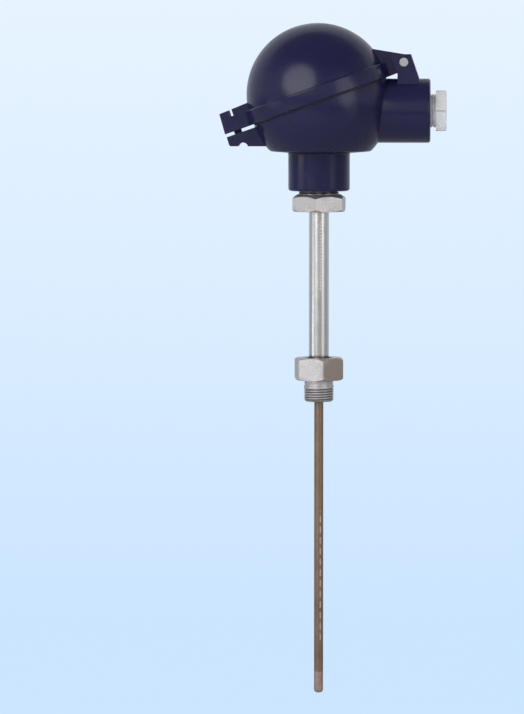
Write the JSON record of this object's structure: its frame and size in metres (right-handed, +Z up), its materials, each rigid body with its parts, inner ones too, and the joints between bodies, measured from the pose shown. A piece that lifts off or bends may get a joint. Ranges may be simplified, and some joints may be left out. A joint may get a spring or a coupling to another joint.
{
  "type": "resistance thermometer probe with connection head",
  "caption": "Temperature probe with a thin sheath, threaded process connection, neck tube and a black domed connection head with hinged lid and side cable entry.",
  "frame": {"origin": "on the probe axis at the upper end of the process thread", "axes": "+Z up the probe to the head, +X to the cable entry"},
  "size_m": [0.136, 0.09, 0.4043],
  "materials": {
    "machined_steel": "turned stainless steel with fine tool marks",
    "drawn_steel": "drawn stainless steel, satin",
    "black_lacquer": "glossy black lacquer on cast aluminium",
    "gasket_rubber": "black rubber",
    "bright_pin": "bright turned steel",
    "plated_screw": "zinc-plated steel",
    "nickel_plate": "bright nickel plate on brass",
    "brown_sheath": "heat-browned stainless sheath",
    "tip_metal": "lighter welded tip",
    "ceramic": "white steatite",
    "oxide_powder": "pressed magnesium oxide",
    "conductor_metal": "bare nickel wire",
    "end_resin": "dark sealing resin",
    "spring_steel": "spring wire",
    "terminal_brass": "machined brass",
    "lead_sleeve": "woven glass sleeve"
  },
  "bodies": {
    "housing": {"process_fitting": "machined_steel", "extension_tube": "drawn_steel", "neck_nipple": "machined_steel", "head_body": "black_lacquer", "hinge_pin": "bright_pin", "cable_gland_screw": "nickel_plate", "gland_washer_inner": "nickel_plate", "gland_washer_outer": "nickel_plate", "gland_seal": "gasket_rubber", "insert_screws": "plated_screw", "insert_springs": "spring_steel", "earth_clamp": "plated_screw", "earth_screw": "plated_screw"},
    "lid": {"head_lid": "black_lacquer", "lid_gasket": "gasket_rubber"},
    "screw_washer": {"closing_screw_washer": "plated_screw"},
    "lid_screw": {"closing_screw": "plated_screw"},
    "insert": {"probe_sheath": "brown_sheath", "sheath_tip": "tip_metal", "rtd_element": "ceramic", "mineral_core": "oxide_powder", "inner_conductors": "conductor_metal", "potting_plug": "end_resin", "insert_collar": "machined_steel", "insert_plate": "drawn_steel", "terminal_block": "ceramic", "terminal_posts": "terminal_brass", "terminal_screws": "plated_screw", "insert_wires": "lead_sleeve"}
  },
  "joints": [
    {"name": "lid_hinge", "type": "hinge", "parent": "housing", "child": "lid", "pos_m": [0.05091, 0, 0.19459], "axis": [0, 1, 0], "range_deg": [0, 115]},
    {"name": "closing_screw_lift", "type": "slide", "parent": "lid", "child": "screw_washer", "axis": [-0.3338, 0, 0.9426], "range_m": [0, 0.0064]},
    {"name": "closing_screw_turn", "type": "hinge", "parent": "screw_washer", "child": "lid_screw", "pos_m": [-0.05057, 0, 0.15823], "axis": [-0.3338, 0, 0.9426], "range_deg": [0, 2880]},
    {"name": "insert_slide", "type": "slide", "parent": "housing", "child": "insert", "axis": [0, 0, 1], "range_m": [0, 0.006], "stiffness_N_per_m": 3000, "springref_m": -0.004, "deforming": ["insert_springs"]}
  ],
  "couplings": [
    {"joint": "closing_screw_turn", "follows": "closing_screw_lift", "rad_per_m": 7854}
  ]
}
